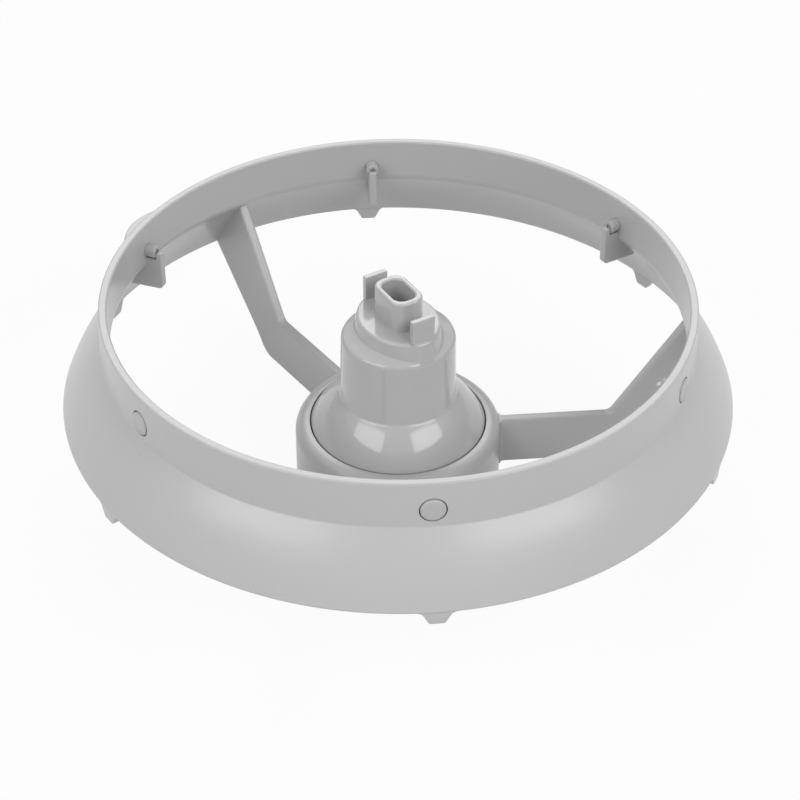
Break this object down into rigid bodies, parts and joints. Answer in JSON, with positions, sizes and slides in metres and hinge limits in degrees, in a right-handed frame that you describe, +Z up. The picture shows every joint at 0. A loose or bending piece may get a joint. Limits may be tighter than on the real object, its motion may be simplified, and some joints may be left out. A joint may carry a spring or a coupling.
{
  "type": "food processor blade holder ring",
  "caption": "Skirted carrier ring on three bent arms with a turning drive coupling in its hub.",
  "frame": {"origin": "on the ring's axis, level with the foot of the hub", "axes": "+Z up along the axis of the ring and the coupling; +X along one of the three arms; -Y towards the front"},
  "size_m": [0.1929, 0.1936, 0.0681],
  "materials": {
    "ring_plastic": "satin light grey",
    "pin_plastic": "satin light grey",
    "coupling_plastic": "smooth light grey",
    "bush_plastic": "natural white",
    "washer_steel": "brushed",
    "clip_steel": "brushed"
  },
  "bodies": {
    "ring": {"holder_ring": "ring_plastic", "ring_pin_1": "pin_plastic", "ring_pin_2": "pin_plastic", "ring_pin_3": "pin_plastic", "ring_pin_4": "pin_plastic", "ring_pin_5": "pin_plastic", "ring_pin_6": "pin_plastic", "hub_bush": "bush_plastic"},
    "coupling": {"drive_coupling": "coupling_plastic", "thrust_washer": "washer_steel", "retaining_clip": "clip_steel"}
  },
  "joints": [
    {"name": "coupling_spin", "type": "hinge", "parent": "ring", "child": "coupling", "pos_m": [0, 0, 0.02], "axis": [0, 0, 1], "continuous": true}
  ]
}
